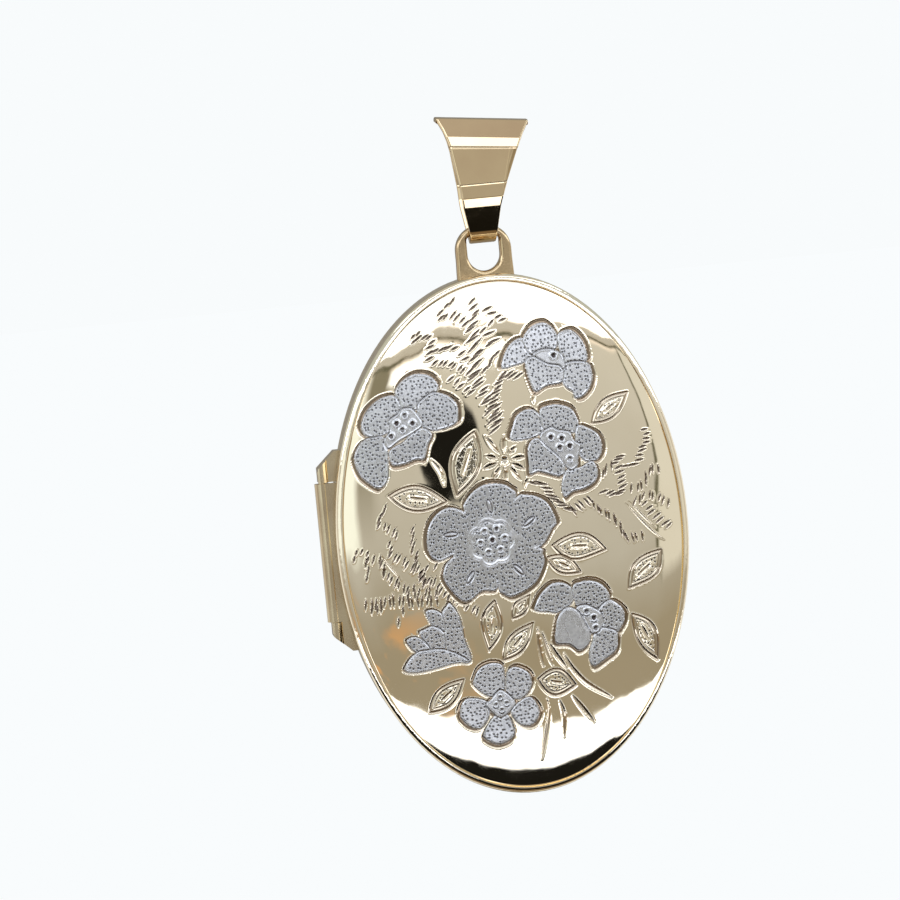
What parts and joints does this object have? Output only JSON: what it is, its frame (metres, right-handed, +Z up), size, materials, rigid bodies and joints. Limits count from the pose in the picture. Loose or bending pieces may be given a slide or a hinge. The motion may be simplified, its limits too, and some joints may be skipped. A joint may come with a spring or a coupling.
{
  "type": "oval photo locket",
  "caption": "Oval hinged photo locket with a domed floral-engraved cover, a hanging loop and a tapered folded bail.",
  "frame": {"origin": "centre of the bail's chain passage", "axes": "+Z up out of the bail along the case's long axis, engraved cover towards -Y, hinge on the -X side"},
  "size_m": [0.0223, 0.0049, 0.041],
  "materials": {
    "engraved_gold": "mirror-polished pale yellow gold, bright-cut and stippled engraving with rhodium-grey flowers",
    "polished_gold": "polished pale yellow gold",
    "bail_gold": "polished flat facets",
    "cast_gold": "satin as-cast, worn bright on the edges",
    "hinge_gold": "drawn tube and filed sheet, lightly polished",
    "lip_gold": "satin with sliding marks",
    "inner_gold": "matt, unpolished inside",
    "frame_gold": "polished",
    "photo_paper": "blank matt photo paper",
    "clear_window": "clear polished sheet"
  },
  "bodies": {
    "bail": {"bail": "bail_gold"},
    "back_case": {"back_rim": "polished_gold", "back_shell": "polished_gold", "closing_lip": "lip_gold", "snap_nib": "lip_gold", "hanging_loop": "cast_gold", "hinge_lug_upper": "hinge_gold", "hinge_lug_lower": "hinge_gold", "hinge_pin": "hinge_gold", "back_photo_seat": "inner_gold", "back_photo": "photo_paper", "back_window": "clear_window", "back_photo_frame": "frame_gold"},
    "cover": {"cover_rim": "polished_gold", "cover_shell": "engraved_gold", "cover_photo_seat": "inner_gold", "cover_photo": "photo_paper", "cover_window": "clear_window", "cover_photo_frame": "frame_gold", "hinge_tube": "hinge_gold", "hinge_leaf": "hinge_gold"}
  },
  "joints": [
    {"name": "bail_swing", "type": "hinge", "parent": "bail", "child": "back_case", "pos_m": [0, 0, -0.00455], "axis": [1, 0, 0], "range_deg": [-105, 105]},
    {"name": "cover_hinge", "type": "hinge", "parent": "back_case", "child": "cover", "pos_m": [-0.01117, -0.00045, -0.023], "axis": [0, 0, -1], "range_deg": [0, 175]}
  ]
}
